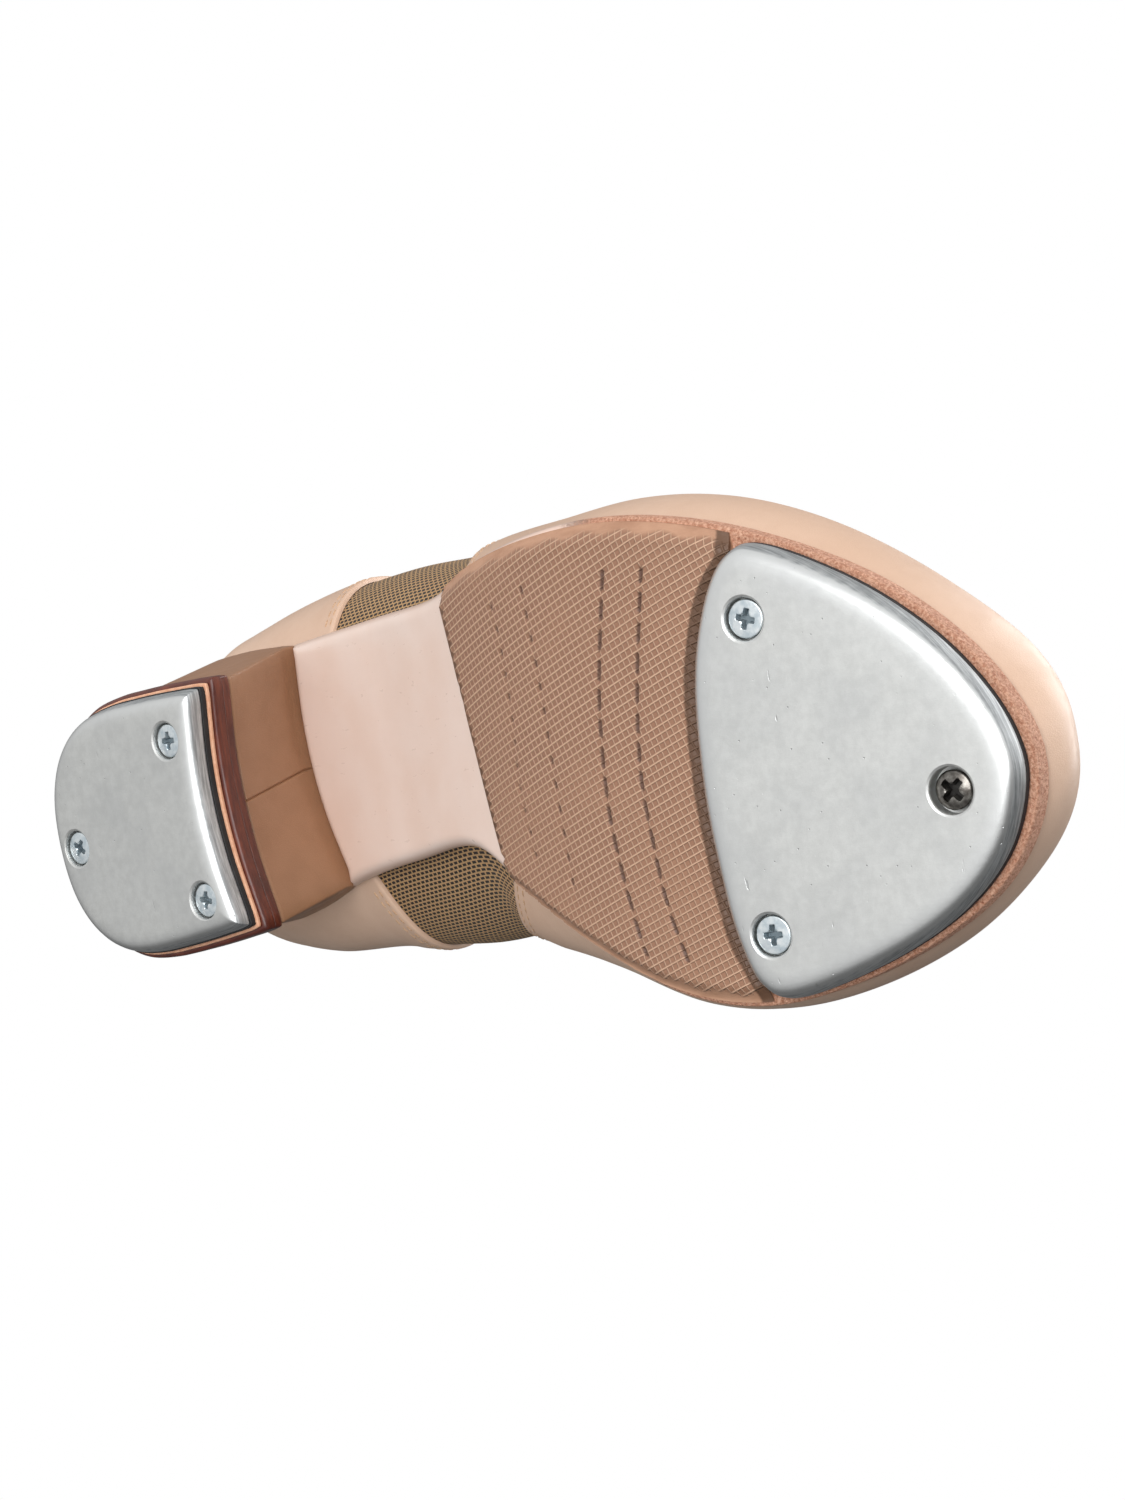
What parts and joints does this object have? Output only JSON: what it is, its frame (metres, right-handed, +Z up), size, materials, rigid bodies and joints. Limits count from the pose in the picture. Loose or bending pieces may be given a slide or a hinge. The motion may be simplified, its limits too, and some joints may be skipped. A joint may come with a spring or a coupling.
{
  "type": "tap shoe",
  "caption": "Heeled slip-on leather tap shoe, right foot: elastic arch gores, rubber half sole, and metal taps screwed under toe and heel.",
  "frame": {"origin": "middle of the shoe's footprint, on the floor it stands on", "axes": "+X to the medial (inner) side, +Y from toe to heel, +Z up"},
  "size_m": [0.0946, 0.25, 0.1003],
  "materials": {
    "aluminium": "cast, tumbled, with a polished bevel",
    "black_fibre": "matt",
    "peach_leather": "smooth",
    "red_leather": "stained edge",
    "zinc_steel": "bright zinc plate",
    "nickel_steel": "dark nickel",
    "heel_wood": "plain",
    "cover_leather": "smooth, waxed",
    "sole_leather": "polished flesh-pink",
    "half_sole_rubber": "fine moulded lattice",
    "cork": "granular",
    "steel": "rolled",
    "fibre_board": "pressed board",
    "sock_suede": "napped",
    "upper_leather": "smooth full grain",
    "lining_canvas": "woven cotton",
    "gore_elastic": "woven elastic"
  },
  "bodies": {
    "shoe": {"heel_tap": "aluminium", "heel_tap_gasket": "black_fibre", "heel_leather_lift": "peach_leather", "heel_top_lift": "red_leather", "heel_screw_lateral": "zinc_steel", "heel_screw_medial": "zinc_steel", "heel_screw_rear": "zinc_steel", "heel_block": "heel_wood", "heel_cover": "cover_leather", "toe_tap": "aluminium", "toe_tap_gasket": "black_fibre", "toe_screw_lateral": "zinc_steel", "toe_screw_medial": "zinc_steel", "outsole": "sole_leather", "rubber_half_sole": "half_sole_rubber", "cork_filler": "cork", "steel_shank": "steel", "insole_board": "fibre_board", "sock_pad": "sock_suede", "heel_seat_screw": "steel", "heel_nail_1": "steel", "heel_nail_2": "steel", "heel_nail_3": "steel", "heel_nail_4": "steel", "vamp": "upper_leather", "vamp_lining": "lining_canvas", "toe_puff": "fibre_board", "quarter_lateral": "upper_leather", "quarter_lining_lateral": "lining_canvas", "heel_counter_lateral": "fibre_board", "elastic_gore_lateral": "gore_elastic", "quarter_medial": "upper_leather", "quarter_lining_medial": "lining_canvas", "heel_counter_medial": "fibre_board", "elastic_gore_medial": "gore_elastic", "topline_binding": "upper_leather", "back_strip": "upper_leather"},
    "tone_screw": {"tone_screw": "nickel_steel"}
  },
  "joints": [
    {"name": "tone_screw_turn", "type": "hinge", "parent": "shoe", "child": "tone_screw", "pos_m": [0.01215, -0.11213, 0.00778], "axis": [0, -0.153, -0.9882], "range_deg": [0, 240]}
  ]
}
